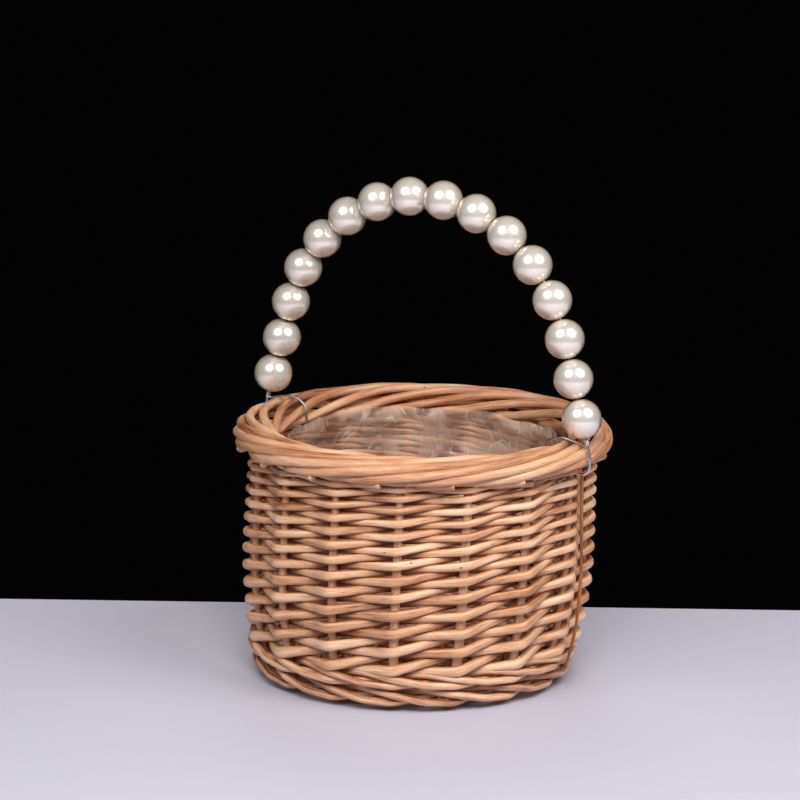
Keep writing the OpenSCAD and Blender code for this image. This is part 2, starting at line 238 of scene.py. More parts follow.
def willowMaterial(name, deep, middle, light, roughness=0.4, creviceShade=1.0):
    # Buff willow: boiled in its bark, peeled and dried. A warm tan with long fibres and dark bud scars; the
    # satin gleam breaks up along the fibres. The sides that face the next rods get painted shade: darker,
    # with less gleam.
    look = willowLook
    material, tree = newMaterial(name)
    place = addNode(tree, "ShaderNodeAttribute", {"attribute_name": "rodPlace"})
    tone = addNode(tree, "ShaderNodeAttribute", {"attribute_name": "rodTone"})
    fine = stretched(tree, place, 1 / look["grainAcross"], 1 / look["grainAlong"])
    fibres = addNode(tree, "ShaderNodeTexNoise", Vector=(fine, 0), Scale=1, Detail=4, Roughness=0.65)
    wide = stretched(tree, place, 1 / look["patchAcross"], 1 / look["patchAlong"])
    patches = addNode(tree, "ShaderNodeTexNoise", Vector=(wide, 0), Scale=1, Detail=4, Roughness=0.6)
    spread = stretched(tree, place, 1.3 / look["knotEvery"], 0.7 / look["knotEvery"])
    cells = addNode(tree, "ShaderNodeTexVoronoi", Vector=(spread, 0), Scale=1, Randomness=1)
    scar = smoothRange(tree, (cells, "Distance"), look["knotSize"] * 0.35, look["knotSize"], 1, 0)
    blend = mathNode(tree, "MULTIPLY_ADD", (patches, 0), look["patchWeight"], (tone, "Fac"))
    streak = mathNode(tree, "MULTIPLY_ADD", (fibres, 0), look["fibreWeight"], (blend, 0))
    section = addNode(tree, "ShaderNodeSeparateXYZ", Vector=(place, "Vector"))
    # painted shade: the sides that face the next rods are moved down the ramp and lose most of their gleam
    outer = mathNode(tree, "ABSOLUTE", (section, "X"))
    creviceShadeMask = smoothRange(tree, (outer, 0), look["dustFull"], look["dustFrom"], creviceShade, 0)
    deeper = mathNode(tree, "MULTIPLY_ADD", (creviceShadeMask, 0), look["dustDeeper"], look["deeper"])
    level = mathNode(tree, "SUBTRACT", (streak, 0), (deeper, 0))
    colour = addNode(tree, "ShaderNodeValToRGB", Fac=(level, 0))
    setRamp(colour, [(0, deep), (0.45, middle), (0.9, light)])
    scarred = addNode(tree, "ShaderNodeMix", {"data_type": "RGBA"}, input0=(scar, 0), input6=(colour, 0),
                      input7=fromHex(look["knotColour"]))
    height = mathNode(tree, "SUBTRACT", (fibres, 0), (scar, 0))
    bump = addNode(tree, "ShaderNodeBump", Strength=0.8, Distance=look["fibreDepth"] * metre,
                   Height=(height, 0))
    satin = addNode(tree, "ShaderNodeMapRange", Value=(fibres, 0), From_Min=0.35, From_Max=0.65,
                    To_Min=roughness - 0.08, To_Max=roughness + 0.14)
    gleam = addNode(tree, "ShaderNodeMapRange", Value=(creviceShadeMask, 0), To_Min=look["gleam"], To_Max=look["dull"])
    shader = addNode(tree, "ShaderNodeBsdfPrincipled", Base_Color=(scarred, "Result"), Roughness=(satin, 0),
                     Normal=(bump, 0), Specular_IOR_Level=(gleam, 0))
    finishMaterial(tree, shader)
    return material


def cutWillowMaterial():
    # The cut end of a rod: pale, dry end grain with no shine.
    material, tree = newMaterial("willowEndGrain")
    place = addNode(tree, "ShaderNodeAttribute", {"attribute_name": "rodPlace"})
    grain = addNode(tree, "ShaderNodeTexNoise", Vector=(place, "Vector"), Scale=1.6, Detail=3)
    colour = addNode(tree, "ShaderNodeValToRGB", Fac=(grain, 0))
    setRamp(colour, [(0.2, "#B27C56"), (0.7, "#E2BA96")])
    shader = addNode(tree, "ShaderNodeBsdfPrincipled", Base_Color=(colour, 0), Roughness=0.75)
    finishMaterial(tree, shader)
    return material


def pearlMaterial():
    # Moulded ABS bead dipped in pearl lacquer. Mica flakes give a soft metallic ivory, and a clear coat over
    # them gives small hard highlights. The colour is painted darker towards the bead's edge, as a painted
    # reflection of the dark room, and light again at the very rim, as a painted rim highlight.
    material, tree = newMaterial("pearlLacquer")
    facingForPaintedRim = addNode(tree, "ShaderNodeLayerWeight", Blend=0.3)
    # painted reflection: a darker ring near the edge and a light rim, set by how far the surface turns away
    colour = addNode(tree, "ShaderNodeValToRGB", Fac=(facingForPaintedRim, "Facing"))
    setRamp(colour, [(0, "#ECE3DA"), (0.35, "#E2D6C7"), (0.75, "#B69B76"), (1, "#F0E4CF")])
    where = addNode(tree, "ShaderNodeTexCoord")
    flow = addNode(tree, "ShaderNodeTexNoise", Vector=(where, "Object"), Scale=160, Detail=2)
    bump = addNode(tree, "ShaderNodeBump", Strength=0.25, Distance=0.12 * metre, Height=(flow, 0))
    shader = addNode(tree, "ShaderNodeBsdfPrincipled", Base_Color=(colour, 0), Metallic=0.46, Roughness=0.22,
                     Normal=(bump, 0), Coat_Weight=1.0, Coat_Roughness=0.12, Coat_IOR=1.8)
    finishMaterial(tree, shader)
    return material


def wireMaterial():
    # Bright drawn steel wire. Fine draw lines along it spread its reflections into soft streaks.
    material, tree = newMaterial("drawnSteelWire")
    place = addNode(tree, "ShaderNodeAttribute", {"attribute_name": "rodPlace"})
    lines = stretched(tree, place, 9, 0.15)
    noise = addNode(tree, "ShaderNodeTexNoise", Vector=(lines, 0), Scale=1, Detail=2)
    bump = addNode(tree, "ShaderNodeBump", Strength=0.35, Distance=0.01 * metre, Height=(noise, 0))
    shader = addNode(tree, "ShaderNodeBsdfPrincipled", Base_Color=fromHex("#D2D2D2"), Metallic=1,
                     Roughness=0.32, Normal=(bump, 0))
    finishMaterial(tree, shader)
    return material


filmLook = {
    "cell": 24.0, "smallCell": 9.0,     # mm between creases
    "line": 0.012,                      # share of a cell that the painted highlight along a crease covers
    "patch": 15.0,                      # mm across the hazier patches
    "fragment": 7.0,                    # mm that a painted crease highlight runs before it fades
    "clearest": 0.26, "haziest": 0.7,   # opacity of the patches
    "creased": 0.5, "edgeOn": 0.25,     # opacity added under a painted crease highlight, and where the film turns away
    "facetDepth": 3.2,                  # mm
    "haze": "#E8C9B4", "whitened": "#F4E6DC",
}


def filmMaterial():
    # Clear polythene film, blown thin. A milky haze that comes and goes in patches, glossy facets between
    # the creases, and painted highlights: the creases are painted white and more opaque in fragments.
    look = filmLook
    material, tree = newMaterial("clearPolytheneFilm")
    crumple = addNode(tree, "ShaderNodeAttribute", {"attribute_name": "crumple"})
    where = addNode(tree, "ShaderNodeTexCoord")
    sway = addNode(tree, "ShaderNodeTexNoise", Vector=(where, "Object"), Scale=55, Detail=2)
    shifted = addNode(tree, "ShaderNodeMix", {"data_type": "VECTOR"}, input0=0.012,
                      input4=(where, "Object"), input5=(sway, "Color"))
    patches = addNode(tree, "ShaderNodeTexNoise", Vector=(shifted, "Result"), Scale=1000 / look["patch"],
                      Detail=3)
    lines, facets = [], []
    for size, turn, stretch in ((look["cell"], 0.6, 0.22), (look["smallCell"], -0.9, 0.3)):
        pulled = addNode(tree, "ShaderNodeMapping", Vector=(shifted, "Result"),
                         Rotation=(turn, turn / 2, 0.3), Scale=(1, 1, stretch))
        cells = addNode(tree, "ShaderNodeTexVoronoi", {"feature": "DISTANCE_TO_EDGE"}, Vector=(pulled, 0),
                        Scale=1000 / size)
        lines.append(smoothRange(tree, (cells, 0), 0, look["line"] * look["cell"] / size, 1, 0))
        facets.append(cells)
    highlightBreaks = addNode(tree, "ShaderNodeTexNoise", Vector=(where, "Object"), Scale=1000 / look["fragment"],
                   Detail=1)
    broken = smoothRange(tree, (highlightBreaks, 0), 0.44, 0.7, 0, 1)
    both = mathNode(tree, "MAXIMUM", (lines[0], 0), (lines[1], 0))
    # painted highlight: the creases are painted white and more opaque, broken into fragments
    paintedCreaseHighlight = mathNode(tree, "MULTIPLY", (both, 0), (broken, 0))
    veil = smoothRange(tree, (patches, 0), 0.41, 0.58, look["clearest"], look["haziest"])
    hazy = mathNode(tree, "MULTIPLY_ADD", (paintedCreaseHighlight, 0), look["creased"], (veil, 0))
    edge = addNode(tree, "ShaderNodeLayerWeight", Blend=0.3)
    rimmed = mathNode(tree, "MULTIPLY_ADD", (edge, "Facing"), look["edgeOn"], (hazy, 0))
    alpha = mathNode(tree, "MULTIPLY", (rimmed, 0), (crumple, "Fac"), clamp=True)
    height = mathNode(tree, "MULTIPLY_ADD", (facets[1], 0), 0.4, (facets[0], 0))
    bump = addNode(tree, "ShaderNodeBump", Strength=0.8, Distance=look["facetDepth"] * metre,
                   Height=(height, 0))
    colour = addNode(tree, "ShaderNodeMix", {"data_type": "RGBA"}, input0=(paintedCreaseHighlight, 0),
                     input6=fromHex(look["haze"]), input7=fromHex(look["whitened"]))
    shader = addNode(tree, "ShaderNodeBsdfPrincipled", Base_Color=(colour, "Result"), Roughness=0.11,
                     Normal=(bump, 0), Alpha=(alpha, 0), Specular_IOR_Level=0.8)
    finishMaterial(tree, shader)
    return material


# the stakes get none of the painted shade on their sides
stakeWillow = willowMaterial("buffWillowStake", "#8A4B2A", "#C9926B", "#E4BB98", creviceShade=0)
weaverWillow = willowMaterial("buffWillowWeaver", "#824321", "#CC966F", "#ECC8A6")
footWillow = willowMaterial("buffWillowFoot", "#84452A", "#D6A27D", "#F2D0B2")
baseWillow = willowMaterial("buffWillowBase", "#8E5637", "#C08A66", "#DDB08E")
splintWillow = willowMaterial("brownWillowSplint", "#7A4B2A", "#A1683D", "#BD8453", 0.5)
endGrain = cutWillowMaterial()
pearlLacquer = pearlMaterial()
steelWire = wireMaterial()
clearFilm = filmMaterial()
print("materials made")

basket = {
    "rimD": 172.0, "height": 117.0, "footD": 137.0, "borderW": 21.5, "bellyH": 52.0,
    "leanX": 3.2, "leanY": 2.0,          # the foot stands off the border's centre
    "stakes": 16, "stakeTurn": 3.1,      # degrees from the handle to the first stake
}
rods = {
    "stakeD": 3.5, "buttD": 4.1, "tipD": 2.3, "waleD": 3.3, "stickD": 3.2, "baseWeaverD": 2.3,
    "splintD": 1.8, "gap": 0.12, "weaveGap": 0.15,
}
step = 360 / basket["stakes"]       # degrees from stake to stake
strandPitch = rods["stakeD"] + 0.3
strandTop = 1.24                    # pitches from the roll's middle up to its highest strand
wallR = (basket["rimD"] - basket["borderW"]) / 2
rollA = (basket["borderW"] - rods["stakeD"]) / 2
rollZ = basket["height"] - strandTop * strandPitch - rods["stakeD"] / 2
weaveTop = rollZ - 1.9 * strandPitch - rods["stakeD"] / 2 - rods["gap"]
thickD = max(rods["stickD"], rods["stakeD"])
baseZ = thickD / 2 + rods["baseWeaverD"] + 0.4
bendR = 5.0
walePitch = rods["waleD"] + 2 * rods["gap"]
waleHalf = walePitch / 2
waleIn = (rods["stakeD"] + rods["waleD"]) / 2 + rods["gap"]
waleOut = 1.08 * waleIn
firstTurn = math.acos((baseZ + bendR - rods["waleD"] / 2 + 0.15) / (bendR + waleOut))
bendC = basket["footD"] / 2 - rods["waleD"] / 2 - (bendR + waleOut) * math.sin(firstTurn)
bendAngle = math.pi / 2 - 2 * math.atan((wallR - bendC - bendR) / basket["bellyH"])
bendLen = (bendR + waleOut) * bendAngle
bendEndR = bendC + bendR * math.sin(bendAngle)
bendEndZ = baseZ + bendR * (1 - math.cos(bendAngle))
bellyR = (wallR - bendEndR) / (1 - math.sin(bendAngle))
bellyLen = bellyR * (math.pi / 2 - bendAngle)
bellyEndZ = bendEndZ + bellyR * math.cos(bendAngle)
wallTop = bellyLen + weaveTop - bellyEndZ


def wallPoint(level, out):
    # Radius and height at a level along the wall, in mm from the end of the bend, and so far outside it.
    # Straight out on the base, round a small arc, up a wide arc, then straight up.
    level, out = np.broadcast_arrays(np.asarray(level, float), np.asarray(out, float))
    turn = bendAngle + level / np.where(level < 0, bendR + waleOut, bellyR)
    flat, bend, belly = level < -bendLen, level < 0, level < bellyLen
    radius = np.select([flat, bend, belly], [
        bendC + level + bendLen,
        bendC + (bendR + out) * np.sin(turn),
        bendEndR + bellyR * (np.sin(turn) - math.sin(bendAngle)) + out * np.sin(turn)], wallR + out)
    height = np.select([flat, bend, belly], [
        baseZ - out,
        baseZ + bendR - (bendR + out) * np.cos(turn),
        bendEndZ + bellyR * (math.cos(bendAngle) - np.cos(turn)) - out * np.cos(turn)],
        bellyEndZ + level - bellyLen)
    return radius, height


def atAngle(degrees, radius, height):
    # A point at an angle, radius and height. The middle moves evenly towards the foot's on the way down.
    angle = np.radians(degrees)
    drift = 1 - np.minimum(height, rollZ) / rollZ
    return np.stack(np.broadcast_arrays(radius * np.cos(angle) - basket["leanX"] * drift,
                                        radius * np.sin(angle) - basket["leanY"] * drift, height), -1)


def onWall(spacings, level, out):
    # The wall's point at so many stake spacings from the handle.
    radius, height = wallPoint(level, out)
    return atAngle(basket["stakeTurn"] + step * np.asarray(spacings), radius, height)


def wander(along, size, longest, waves=5):
    # A slow random sway: a sum of sines of random phase, each shorter and smaller than the last.
    total = np.zeros_like(along)
    for k in range(waves):
        faster, phase = chance.uniform(0.8, 1.2), chance.uniform(0, 6.28)
        total += np.sin(2 * np.pi * along * (k + 1) / longest * faster + phase) / (k + 1)
    return size * total / 1.5


stakeLook = {
    "sides": 14, "step": 1.3, "rounding": 5.0, "wallD": 3.6, "borderD": 4.2, "tipD": 3.7,
    "sway": 0.4,            # mm that a strand strays from its way through the border
    "flattened": 0.22,      # how much wider the weave presses a stake
    "clear": 0.2,           # mm that the strands stand in from the roll's skin
    "wallStations": 60, "borderStations": 160,
}
# one strand's way through the border: [spacings, across the roll, up the roll]
borderRun = np.array([
    [0, 0.03, -1.75], [0.12, 0.33, -1.22], [0.3, 0.67, -1.0], [0.6, 0.88, -0.83], [1, 0.98, -0.45],
    [1.5, 0.99, 0.05], [2, 0.91, 0.56], [2.5, 0.73, 0.92], [3, 0.47, 1.16], [3.5, 0.13, 1.24],
    [4, -0.29, 1.18], [4.4, -0.64, 0.86], [4.8, -0.89, 0.32], [5.2, -1, -0.32], [5.6, -0.9, -0.95],
    [6, -0.58, -1.33], [6.12, -0.33, -1.73], [6.25, -0.03, -1.85], [6.4, 0.2, -1.75],
    [6.56, 0.42, -1.6], [6.74, 0.84, -1.42]])
stakeIn = bendC - 14        # radius where the stakes enter the base
upward = np.array([0, 0, 1.0])


def makeStake(index):
    # Out along the base, up the wall, then along the border's run. The thickness grows into the border and
    # falls with the square of the way through it. Returns path, outward direction, thickness and widening.
    look = stakeLook
    turn = basket["stakeTurn"] + step * index
    wallEnd = look["wallStations"]
    radius, height = wallPoint(np.linspace(-bendLen, wallTop, wallEnd), 0)
    upright = atAngle(turn, np.concatenate([[stakeIn], radius]), np.concatenate([[baseZ], height]))
    fine = np.linspace(0, len(borderRun) - 1, look["borderStations"])
    spacing, across, up = (np.interp(fine, np.arange(len(borderRun)), borderRun[:, k]) for k in range(3))
    # the strands are thicker than the CAD's, so the roll they follow is smaller and its top is lower
    proud = (look["borderD"] - rods["stakeD"]) / 2
    inset = rollA - proud - look["clear"]
    lowered = (proud + look["clear"]) * np.clip(up / strandTop, 0, 1)
    border = atAngle(turn + step * spacing, wallR + inset * across, rollZ + strandPitch * up - lowered)
    path, place = follow(np.concatenate([upright, border]), look["step"], look["rounding"])
    along = alongOf(path)
    angle = np.arctan2(path[:, 1], path[:, 0])
    radial = np.stack([np.cos(angle), np.sin(angle), np.zeros_like(angle)], 1)
    lying = np.clip(1 - (along - 8) / 12, 0, 1)[:, None]    # 1 on the base, 0 on the wall
    outward = unit(radial * (1 - lying) - upward * lying)
    inBorder = np.clip((place - (wallEnd - 2)) / 14, 0, 1)
    share = np.clip((place - (wallEnd + 1)) / look["borderStations"], 0, 1)
    width = (look["wallD"] + (look["borderD"] - look["wallD"]) * inBorder
             - (look["borderD"] - look["tipD"]) * share ** 2)
    width = width * (1 + wander(along, 0.04, 70)) * chance.uniform(0.94, 1.03)
    sway = wander(along, look["sway"], 90) * np.clip(np.minimum(along, along[-1] - along) / 20, 0, 1)
    path = path + upward * (sway * inBorder * 0.5)[:, None]
    inWeave = np.clip(along / 20, 0, 1) * (1 - np.clip((place - (wallEnd - 10)) / 7, 0, 1))
    broad = 1 + look["flattened"] * inWeave * (1 - lying[:, 0])
    return path, outward, width, broad


for index in range(1, basket["stakes"] + 1):
    path, outward, width, broad = makeStake(index)
    bundle = RodBundle(stakeLook["sides"])
    bundle.add(path, outward, width / 2, width / 2 * broad, chance.uniform(-0.12, 0.16), slant=(0, 0.5))
    bundle.make(f"stake{index:02d}", "basket", [f"stake_{index:02d}"],
                [stakeWillow, endGrain])
print("stakes and border made")

weaverLook = {
    "sides": 14, "step": 1.3, "rounding": 2.6, "squash": 0.2, "sway": 0.16,
    "tuck": 6,          # stakes that the thin tip passes under the border
    "tipPitch": 1.5,    # mm it climbs at each of them
    "lift": 0.8,        # mm that the middle rows are beaten up less tightly
    "bulge": 1.115,     # the softened corners pull a rod in, so it is placed this much further out
    "freshness": 0.06, "dusk": 0.55,    # tone added to every rod, so it is paler in front of a stake, and painted shade that darkens it behind one
}
footLow = waleHalf - (bendR + waleOut) * (bendAngle - firstTurn)
footHigh = max(waleHalf + 0.8 * walePitch, footLow + 2 * walePitch + rods["gap"])
weaveLow = footHigh + waleHalf + rods["buttD"] * 1.5 + rods["gap"]
weaveHigh = wallTop - rods["tipD"] / 2
meanPitch = (rods["buttD"] + rods["tipD"]) / 2 + rods["weaveGap"]
weaveSteps = int((weaveHigh - weaveLow) / meanPitch)
weaveSlack = (weaveHigh - weaveLow) / weaveSteps - meanPitch


def weaverD(n):
    # A rod's thickness after n stakes: from the butt's evenly down to the tip's.
    return rods["buttD"] + (rods["tipD"] - rods["buttD"]) * np.clip(n / weaveSteps, 0, 1)


def weaverLevel(n):
    # Height along the wall after n stakes; each step is one rod's thickness, which shrinks with n.
    below = np.minimum(n, weaveSteps)
    beaten = 0.4 + weaverLook["lift"] * np.sin(np.pi * np.clip(below, 0, weaveSteps) / weaveSteps)
    return (weaveLow + beaten + below * (rods["buttD"] + rods["weaveGap"] + weaveSlack)
            + (rods["tipD"] - rods["buttD"]) * below * below / (2 * weaveSteps)
            + (n - below) * weaverLook["tipPitch"])


look = weaverLook
for index in range(1, basket["stakes"] + 1):
    toLoop = (-basket["stakeTurn"] / step - index - weaveSteps) % (basket["stakes"] / 2)
    tucked = min(look["tuck"], int(toLoop))     # a tip ends before it would cross a wire loop
    n = np.arange(-1, weaveSteps + 1 + tucked)
    reach = rods["stakeD"] / 2 + weaverD(n) / 2 + rods["gap"]
    stations = onWall(index + n, weaverLevel(n), np.where(n % 2 == 0, look["bulge"] * reach, -reach))
    path, place = follow(stations, look["step"], look["rounding"])
    count = place - 1
    along = alongOf(path)
    outward = onWall(index + count, weaverLevel(count), 1) - onWall(index + count, weaverLevel(count), 0)
    pitch = weaverD(count) + rods["weaveGap"] + weaveSlack
    full = 0.5 + 0.5 * np.cos(2 * np.pi * count)   # 1 at a stake, 0 halfway between
    thick = 1 + wander(along, 0.03, 80)
    halfUp = pitch / 2 * (0.98 + look["squash"] * full) * thick
    halfOut = weaverD(count) / 2 * thick
    path = path + upward * wander(along, look["sway"], 60)[:, None]
    bundle = RodBundle(look["sides"])
    behind = 0.5 - 0.5 * np.cos(np.pi * (count % 2))    # 0 in front of a stake, 1 behind the next
    # painted shade: a weaver's tone drops where it passes behind a stake
    tone = chance.uniform(-0.2, 0.2) + look["freshness"] - look["dusk"] * behind ** 3
    bundle.add(path, outward, halfOut, halfUp, tone)
    bundle.make(f"weaver{index:02d}", "basket", [f"weaver_{index:02d}"],
                [weaverWillow, endGrain])
print("weavers made")

footLook = {
    "sides": 14, "step": 1.2, "rounding": 3.6,
    # wall levels at the two stakes that a rod passes in front of
    "lower": (1.2, -3.4), "upper": (9.0, 5.4),
    "early": 0.65,      # share of the drop made halfway between the two stakes
    "trim": 0.06,       # share of the first and last station's distance cut off, so that rods don't meet
    "rods": ((2, 15), (17, 15), (32, 18)),      # first stake and how many stakes each rod passes
}


def waleStations(steps, first, second):
    # Outside two stakes, dropping from the first level to the second, and inside the third. A station
    # stands at each stake and halfway to the next.
    halfway = first + footLook["early"] * (second - first)
    kind = np.round((steps % 3) * 2).astype(int)
    level = np.choose(kind, [first, halfway, second, second - 0.3, (first + second) / 2, first + 0.4])
    out = np.choose(kind, [waleOut, waleOut + 0.5, waleOut, -0.5, -waleIn, -0.5])
    return onWall(steps, level, out), level


for name in ("lower", "upper"):
    bundle = RodBundle(footLook["sides"])
    for first, count in footLook["rods"]:
        steps = np.arange(first, first + count + 0.25, 0.5)
        stations, levels = waleStations(steps, *footLook[name])
        stations[0] += footLook["trim"] * (stations[1] - stations[0])
        stations[-1] += footLook["trim"] * (stations[-2] - stations[-1])
        path, place = follow(stations, footLook["step"], footLook["rounding"])
        at = np.interp(place, np.arange(len(steps)), steps)
        height = np.interp(place, np.arange(len(steps)), levels)
        outward = onWall(at, height, 1) - onWall(at, height, 0)
        width = rods["waleD"] * (1 + wander(alongOf(path), 0.025, 70))
        bundle.add(path, outward, width / 2, width / 2, chance.uniform(-0.15, 0.15))
    bundle.make("foot" + name.title(), "basket", ["foot_wale_" + name], [footWillow, endGrain])
print("foot made")

baseLook = {
    "sides": 10, "step": 1.4, "rounding": 3.0,
    "fanR": 16.5,       # mm from the middle to where the sticks fan out
    "crossR": 8.0,      # mm from the middle that the sticks of a group run side by side
    "pressed": 1.5,     # mm that the last round is pressed into the stakes' bend
}
beside = (rods["stickD"] + rods["stakeD"]) / 2 + rods["gap"]    # from a stake's line to its stick's
baseEdge = bendC - rods["waleD"] / 2 - 0.5
fanR, crossR = baseLook["fanR"], baseLook["crossR"]


def besideLine(spacings, radius, side, lift=0.0):
    # A point on a stake's line across the base, moved so far to its side and so far up.
    angle = np.radians(basket["stakeTurn"] + step * np.asarray(spacings, float))
    aside = np.stack([-np.sin(angle), np.cos(angle), np.zeros_like(angle)], -1)
    point = atAngle(np.degrees(angle), radius, baseZ)
    return point + np.asarray(side)[..., None] * aside + np.asarray(lift)[..., None] * upward


for name, k, lift in (("base_sticks_over", 0, 1), ("base_sticks_under", 4, -1)):
    bundle = RodBundle(baseLook["sides"])
    middle = math.radians(basket["stakeTurn"] + step * (k + 0.5)) - math.atan(beside / fanR)
    for i in range(4):
        forward = np.array([math.cos(middle), math.sin(middle), 0])
        sideways = np.array([-math.sin(middle), math.cos(middle), 0])
        centre = atAngle(0, 0, baseZ) + lift * (rods["stickD"] + rods["gap"]) / 2 * upward
        centre = centre + (i - 1.5) * (rods["stickD"] + 2 * rods["gap"]) * sideways
        stations = np.array([
            besideLine(k - 1 + i, baseEdge, -beside), besideLine(k - 1 + i, fanR, -beside),
            centre + crossR * forward, centre - crossR * forward,
            besideLine(k + 10 - i, fanR, -beside), besideLine(k + 10 - i, baseEdge, -beside)])
        path, place = follow(stations, baseLook["step"], baseLook["rounding"])
        width = np.full(len(path), rods["stickD"])
        bundle.add(path, np.tile(upward, (len(path), 1)), width / 2, width / 2, chance.uniform(-0.1, 0.1))
    bundle.make("baseSticksOver" if lift > 0 else "baseSticksUnder", "basket", [name],
                [baseWillow, endGrain])

basePitch = rods["baseWeaverD"] + 2 * rods["gap"]
baseStart = fanR + 1
baseWidth = baseEdge + baseLook["pressed"] - baseStart
baseTurns = (baseWidth - basePitch - rods["baseWeaverD"] / 2) / (2 * basePitch)
baseRise = (thickD + rods["baseWeaverD"]) / 2 + rods["gap"]
for name, shift in (("base_weaver_a", 0), ("base_weaver_b", 1)):
    passes = int(baseTurns * basket["stakes"]) + (1 - shift) * basket["stakes"] // 2
    m = np.repeat(np.arange(passes + 1), 2)     # each pass has a near station and a far one
    edge = np.tile([0, 1], passes + 1)
    radius = baseStart + shift * basePitch + 2 * basePitch * m / basket["stakes"]
    near = -beside - rods["stickD"] / 2 - 0.3
    far = np.where(radius + rods["baseWeaverD"] < stakeIn, rods["stickD"] / 2 - beside + 0.3,
                   rods["stakeD"] / 2 + 0.3)
    rise = np.where((m + shift) % 2 == 0, baseRise, -baseRise)
    stations = besideLine(m, radius, np.where(edge == 0, near, far), rise)
    path, place = follow(stations, baseLook["step"], baseLook["rounding"])
    width = np.full(len(path), rods["baseWeaverD"])
    bundle = RodBundle(baseLook["sides"])
    bundle.add(path, np.tile(upward, (len(path), 1)), width / 2, width / 2, chance.uniform(-0.1, 0.1))
    bundle.make("baseWeaver" + name[-1].upper(), "basket", [name], [baseWillow, endGrain])
print("base made")

splint = {
    "slant": 0.2,       # stake spacings that it leans from its top to its foot
    "levels": 6, "sides": 10, "step": 1.2, "rounding": 12.0,
    "flat": 0.8,        # its thickness as a share of its width
    "clear": 0.35,      # mm off the rods it lies on
}
top = weaverLevel(weaveSteps) + rods["tipD"] / 2
share = np.arange(splint["levels"] + 1) / splint["levels"]
level = top * share + footHigh * (1 - share)
passed = (level - weaveLow) / (weaveHigh - weaveLow) * weaveSteps
under = np.where(level < weaveLow, rods["waleD"], weaverD(passed))
widest = np.maximum(under, rods["waleD"] * (1 - np.arange(splint["levels"] + 1) / 2))
out = (weaverLook["bulge"] * ((rods["stakeD"] + widest) / 2 + rods["gap"])
       + under / 2 + rods["splintD"] / 2 + splint["clear"])
stations = onWall(splint["slant"] * (1 - share), level, out)
path, place = follow(stations, splint["step"], splint["rounding"])
radial = unit(path * np.array([1, 1, 0]))
width = rods["splintD"] * (1 + wander(alongOf(path), 0.08, 50))
bundle = RodBundle(splint["sides"])
bundle.add(path, radial, width / 2 * splint["flat"], width / 2, 0.0, slant=(0, 0.6))
bundle.make("splintStick", "basket", ["splint_stick"], [splintWillow, endGrain])
print("splint made")

film = {
    "room": 0.5,        # mm clear of the rods
    "drop": 8.0,        # mm from the border's top down to the film's edge
    "around": 420, "step": 1.25, "rounding": 6,
    "folds": 26, "shortest": 9, "longest": 60,      # how many folds, and their lengths in mm
    "deepest": 4.5,     # mm that a fold may stand in from the wall
    "edgeWaves": ((0.9, 3, 0.6), (0.7, 7, 2), (0.5, 17, 0)),    # mm, waves round the edge, and phase
    "crumpled": 55.0,   # mm down from the edge, where the film is handled most
    "bunched": math.radians(95),        # the sides, this and its opposite, where the spare film gathers
    "flat": 0.27,       # m, side of the square that the film is cut from
}
wire = {
    "d": 1.1, "crown": 218.0, "corner": 3.6,
    "tilt": math.radians(15),           # how far the arch's legs lean in
    "room": 0.35, "coils": 2.5, "coilR": 0.98,      # mm clear of the border; turns; radius in wire widths
    "sides": 12, "step": 0.5, "rounding": 2.6,
}
# the loop round the border, in the wire's own plane
loopOut = wallR + rollA + rods["stakeD"] / 2 + wire["room"] + wire["d"] / 2
loopIn = wallR - rollA - rods["stakeD"] / 2 - wire["room"] - wire["d"] / 2
loopTop = basket["height"] + wire["room"] + 0.15 + wire["d"] / 2
loopBottom = rollZ - 1.33 * strandPitch - rods["stakeD"] / 2 - wire["room"] - 0.15 - wire["d"] / 2


def foldedNoise(x, y, terms, shortest, longest):
    # Crumpled folds: a mean of triangle waves across random directions, each as high as it is long.
    total = np.zeros_like(x)
    for _ in range(terms):
        length = math.exp(chance.uniform(math.log(shortest), math.log(longest)))
        turn = chance.uniform(0, math.pi)
        wave = (x * math.cos(turn) + y * math.sin(turn)) / length + chance.uniform(0, 1)
        bent = wave + 0.35 * np.sin(2 * np.pi * (x * math.sin(turn) - y * math.cos(turn)) / (2.7 * length))
        ramp = np.abs(2 * (bent % 1) - 1)
        total += ramp * length
    return total / (terms * longest) * 2.4


